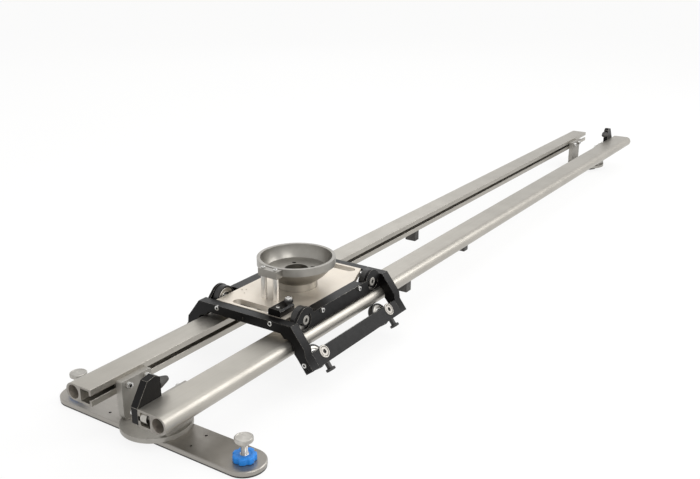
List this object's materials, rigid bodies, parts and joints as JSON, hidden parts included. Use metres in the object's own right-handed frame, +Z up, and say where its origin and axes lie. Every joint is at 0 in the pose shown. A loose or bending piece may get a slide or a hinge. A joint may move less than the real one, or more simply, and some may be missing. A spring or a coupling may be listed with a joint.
{
  "type": "scooter dolly",
  "caption": "Camera slider on rails: a wheeled carriage with a tripod bowl adapter rolls on a twin-rail track with a swivelling levelling base plate.",
  "frame": {"origin": "on the floor at the rails' mid-length, halfway between the rails", "axes": "+X along the rails, away from the base plate; +Y to the left; +Z up"},
  "size_m": [2.44, 0.473, 0.2005],
  "materials": {
    "rail": "satin anodised",
    "bracket": "satin grey",
    "black_metal": "satin black anodised",
    "platform": "fine brushed",
    "grey_metal": "satin dark grey anodised",
    "steel": "bright zinc-plated",
    "knurled": "satin knurled",
    "wheel": "turned",
    "tyre": "matt",
    "rubber": "matt",
    "blue_knob": "glossy moulded",
    "black_knob": "satin moulded"
  },
  "bodies": {
    "track": {"rail_left": "rail", "rail_right": "rail", "near_bracket": "bracket", "far_bracket": "bracket", "slot_nuts": "steel", "stop_nuts": "steel", "slot_screws": "steel", "near_stop": "black_metal", "far_stop": "black_metal", "stop_buffers": "rubber", "rest_pads": "rubber", "far_foot": "rubber", "pivot_bolt": "steel"},
    "base": {"base_plate": "grey_metal", "base_pad": "rubber"},
    "carriage": {"platform": "platform", "near_arm": "black_metal", "far_arm": "black_metal", "side_bar_left": "black_metal", "side_bar_right": "black_metal", "lower_bar_left": "black_metal", "lower_bar_right": "black_metal", "upper_axles": "steel", "lower_axles": "steel", "frame_screws": "steel", "bowl": "grey_metal", "bowl_screws": "steel", "bowl_block": "grey_metal", "bowl_posts": "steel", "brake_block": "black_metal"},
    "brake_pad_body": {"brake_pad": "rubber"},
    "brake_screw_body": {"brake_screw": "steel"},
    "levelling_foot_left_body": {"levelling_foot_left": "rubber"},
    "levelling_screw_left_body": {"levelling_screw_left": "knurled"},
    "lock_knob_left_body": {"lock_knob_left": "blue_knob"},
    "upper_wheel_near_left_body": {"upper_wheel_near_left": "wheel", "upper_tyre_near_left": "tyre"},
    "lower_wheel_near_left_body": {"lower_wheel_near_left": "wheel", "lower_tyre_near_left": "tyre"},
    "pull_pin_near_left_body": {"pull_pin_near_left": "black_knob"},
    "upper_wheel_far_left_body": {"upper_wheel_far_left": "wheel", "upper_tyre_far_left": "tyre"},
    "lower_wheel_far_left_body": {"lower_wheel_far_left": "wheel", "lower_tyre_far_left": "tyre"},
    "pull_pin_far_left_body": {"pull_pin_far_left": "black_knob"},
    "levelling_foot_right_body": {"levelling_foot_right": "rubber"},
    "levelling_screw_right_body": {"levelling_screw_right": "knurled"},
    "lock_knob_right_body": {"lock_knob_right": "blue_knob"},
    "upper_wheel_near_right_body": {"upper_wheel_near_right": "wheel", "upper_tyre_near_right": "tyre"},
    "lower_wheel_near_right_body": {"lower_wheel_near_right": "wheel", "lower_tyre_near_right": "tyre"},
    "pull_pin_near_right_body": {"pull_pin_near_right": "black_knob"},
    "upper_wheel_far_right_body": {"upper_wheel_far_right": "wheel", "upper_tyre_far_right": "tyre"},
    "lower_wheel_far_right_body": {"lower_wheel_far_right": "wheel", "lower_tyre_far_right": "tyre"},
    "pull_pin_far_right_body": {"pull_pin_far_right": "black_knob"}
  },
  "joints": [
    {"name": "carriage_roll", "type": "slide", "parent": "track", "child": "carriage", "axis": [1, 0, 0], "range_m": [-0.2488, 1.6526]},
    {"name": "base_swivel", "type": "hinge", "parent": "track", "child": "base", "pos_m": [-1.13, 0, 0.0075], "axis": [0, 0, 1], "range_deg": [-90, 90]},
    {"name": "brake_press", "type": "slide", "parent": "carriage", "child": "brake_pad_body", "axis": [0, 0, -1], "range_m": [0, 0.0018]},
    {"name": "brake_turn", "type": "hinge", "parent": "brake_pad_body", "child": "brake_screw_body", "pos_m": [-0.8324, -0.066, 0.15], "axis": [0, 0, -1], "range_deg": [0, 540]},
    {"name": "level_lift_left", "type": "slide", "parent": "base", "child": "levelling_foot_left_body", "axis": [0, 0, 1], "range_m": [0, 0.012]},
    {"name": "level_turn_left", "type": "hinge", "parent": "levelling_foot_left_body", "child": "levelling_screw_left_body", "pos_m": [-1.13, 0.19925, 0.02], "axis": [0, 0, 1], "range_deg": [0, 2920]},
    {"name": "lock_turn_left", "type": "hinge", "parent": "base", "child": "lock_knob_left_body", "pos_m": [-1.13, 0.19925, 0.02], "axis": [0, 0, 1], "range_deg": [0, 180]},
    {"name": "upper_spin_near_left", "type": "hinge", "parent": "carriage", "child": "upper_wheel_near_left_body", "pos_m": [-0.8369, 0.097, 0.1265], "axis": [0, 1, 0], "continuous": true},
    {"name": "lower_spin_near_left", "type": "hinge", "parent": "carriage", "child": "lower_wheel_near_left_body", "pos_m": [-0.8369, 0.12667, 0.05276], "axis": [0, -0.7986, -0.6018], "continuous": true},
    {"name": "pin_pull_near_left", "type": "slide", "parent": "carriage", "child": "pull_pin_near_left_body", "axis": [0, 0.6018, -0.7986], "range_m": [0, 0.006], "stiffness_N_per_m": 400, "springref_m": -0.002},
    {"name": "upper_spin_far_left", "type": "hinge", "parent": "carriage", "child": "upper_wheel_far_left_body", "pos_m": [-0.5999, 0.097, 0.1265], "axis": [0, 1, 0], "continuous": true},
    {"name": "lower_spin_far_left", "type": "hinge", "parent": "carriage", "child": "lower_wheel_far_left_body", "pos_m": [-0.5999, 0.12667, 0.05276], "axis": [0, -0.7986, -0.6018], "continuous": true},
    {"name": "pin_pull_far_left", "type": "slide", "parent": "carriage", "child": "pull_pin_far_left_body", "axis": [0, 0.6018, -0.7986], "range_m": [0, 0.006], "stiffness_N_per_m": 400, "springref_m": -0.002},
    {"name": "level_lift_right", "type": "slide", "parent": "base", "child": "levelling_foot_right_body", "axis": [0, 0, 1], "range_m": [0, 0.012]},
    {"name": "level_turn_right", "type": "hinge", "parent": "levelling_foot_right_body", "child": "levelling_screw_right_body", "pos_m": [-1.13, -0.19925, 0.02], "axis": [0, 0, 1], "range_deg": [0, 2920]},
    {"name": "lock_turn_right", "type": "hinge", "parent": "base", "child": "lock_knob_right_body", "pos_m": [-1.13, -0.19925, 0.02], "axis": [0, 0, 1], "range_deg": [0, 180]},
    {"name": "upper_spin_near_right", "type": "hinge", "parent": "carriage", "child": "upper_wheel_near_right_body", "pos_m": [-0.8369, -0.097, 0.1265], "axis": [0, 1, 0], "continuous": true},
    {"name": "lower_spin_near_right", "type": "hinge", "parent": "carriage", "child": "lower_wheel_near_right_body", "pos_m": [-0.8369, -0.12667, 0.05276], "axis": [0, -0.7986, 0.6018], "continuous": true},
    {"name": "pin_pull_near_right", "type": "slide", "parent": "carriage", "child": "pull_pin_near_right_body", "axis": [0, -0.6018, -0.7986], "range_m": [0, 0.006], "stiffness_N_per_m": 400, "springref_m": -0.002},
    {"name": "upper_spin_far_right", "type": "hinge", "parent": "carriage", "child": "upper_wheel_far_right_body", "pos_m": [-0.5999, -0.097, 0.1265], "axis": [0, 1, 0], "continuous": true},
    {"name": "lower_spin_far_right", "type": "hinge", "parent": "carriage", "child": "lower_wheel_far_right_body", "pos_m": [-0.5999, -0.12667, 0.05276], "axis": [0, -0.7986, 0.6018], "continuous": true},
    {"name": "pin_pull_far_right", "type": "slide", "parent": "carriage", "child": "pull_pin_far_right_body", "axis": [0, -0.6018, -0.7986], "range_m": [0, 0.006], "stiffness_N_per_m": 400, "springref_m": -0.002}
  ],
  "couplings": [
    {"joint": "brake_turn", "follows": "brake_press", "rad_per_m": 5026.5},
    {"joint": "level_turn_left", "follows": "level_lift_left", "rad_per_m": 4188.8},
    {"joint": "upper_spin_near_left", "follows": "carriage_roll", "rad_per_m": 40},
    {"joint": "lower_spin_near_left", "follows": "carriage_roll", "rad_per_m": 40},
    {"joint": "upper_spin_far_left", "follows": "carriage_roll", "rad_per_m": 40},
    {"joint": "lower_spin_far_left", "follows": "carriage_roll", "rad_per_m": 40},
    {"joint": "level_turn_right", "follows": "level_lift_right", "rad_per_m": 4188.8},
    {"joint": "upper_spin_near_right", "follows": "carriage_roll", "rad_per_m": 40},
    {"joint": "lower_spin_near_right", "follows": "carriage_roll", "rad_per_m": 40},
    {"joint": "upper_spin_far_right", "follows": "carriage_roll", "rad_per_m": 40},
    {"joint": "lower_spin_far_right", "follows": "carriage_roll", "rad_per_m": 40}
  ]
}
